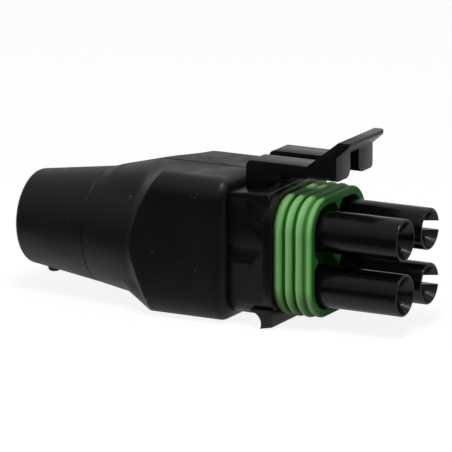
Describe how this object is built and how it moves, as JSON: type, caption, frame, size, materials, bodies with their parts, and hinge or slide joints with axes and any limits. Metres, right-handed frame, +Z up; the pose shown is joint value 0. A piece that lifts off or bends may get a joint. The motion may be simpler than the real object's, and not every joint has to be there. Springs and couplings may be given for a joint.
{
  "type": "sealed automotive connector",
  "caption": "Sealed square tower connector with recessed pin sockets, a ribbed ring seal, a flexing latch and a closed moulded boot.",
  "frame": {"origin": "centre of the plane that holds the four tower tips", "axes": "+X along the towers, out of their mouths; +Y across, towards the slotted side of the towers; +Z up, towards the latch"},
  "size_m": [0.0589, 0.0192, 0.0261],
  "materials": {
    "housing_nylon": "semi-gloss black moulded nylon",
    "seal_silicone": "pale green silicone",
    "wire_seal_silicone": "pale green silicone",
    "contact_brass": "plated brass strip",
    "lock_nylon": "black moulded nylon",
    "conductor_copper": "copper strand",
    "wire_insulation": "black wire insulation",
    "potting": "dark cast resin",
    "boot_compound": "satin black moulded compound"
  },
  "bodies": {
    "connector": {"tower_housing": "housing_nylon", "ring_seal": "seal_silicone", "socket_contact_1": "contact_brass", "socket_contact_2": "contact_brass", "socket_contact_3": "contact_brass", "socket_contact_4": "contact_brass", "wire_seal_1": "wire_seal_silicone", "wire_seal_2": "wire_seal_silicone", "wire_seal_3": "wire_seal_silicone", "wire_seal_4": "wire_seal_silicone", "secondary_lock_upper": "lock_nylon", "secondary_lock_lower": "lock_nylon", "link_conductor_1": "conductor_copper", "link_conductor_2": "conductor_copper", "link_insulation_1": "wire_insulation", "link_insulation_2": "wire_insulation", "potting_block": "potting", "boot_body": "boot_compound", "boot_cap": "boot_compound"},
    "latch": {"latch_lever": "housing_nylon"}
  },
  "joints": [
    {"name": "latch_flex", "type": "hinge", "parent": "connector", "child": "latch", "pos_m": [-0.01985, 0, 0.01191], "axis": [0, -1, 0], "range_deg": [0, 10], "stiffness_Nm_per_rad": 0.7}
  ]
}
